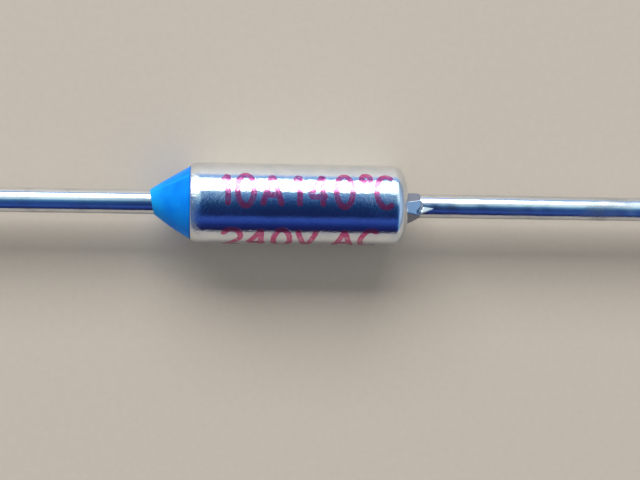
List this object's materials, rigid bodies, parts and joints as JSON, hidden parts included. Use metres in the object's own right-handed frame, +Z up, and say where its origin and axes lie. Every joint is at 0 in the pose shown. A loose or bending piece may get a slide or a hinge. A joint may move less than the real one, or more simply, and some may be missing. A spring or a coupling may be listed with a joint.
{
  "type": "thermal fuse",
  "caption": "Sealed axial thermal fuse: a bright metal case with a blue epoxy cone seal and straight wire leads, which opens a circuit for good when it overheats.",
  "frame": {"origin": "on the case's axis, midway between its rolled mouth and its closed end", "axes": "+X along the axis toward the case lead, -X toward the blue seal and the isolated lead, +Z up"},
  "size_m": [0.0644, 0.004, 0.004],
  "materials": {
    "plated_case": "bright silver plate with fine scuffs",
    "case_lead_wire": "tinned copper wire, slightly dull",
    "isolated_lead_wire": "bright tinned copper wire",
    "blue_epoxy": "glossy cast epoxy",
    "bushing_ceramic": "unglazed white ceramic",
    "spring_wire": "drawn spring wire",
    "silvered_sheet": "silvered copper sheet",
    "copper_disc": "stamped copper",
    "pressed_pellet": "pressed organic powder, waxy"
  },
  "bodies": {
    "root": {"case": "plated_case", "case_lead": "case_lead_wire", "isolated_lead": "isolated_lead_wire", "epoxy_seal": "blue_epoxy", "ceramic_bushing": "bushing_ceramic", "trip_spring": "spring_wire", "star_contact": "silvered_sheet", "contact_disc": "copper_disc", "barrel_spring": "spring_wire", "pellet_disc": "copper_disc", "thermal_pellet": "pressed_pellet"}
  },
  "joints": []
}
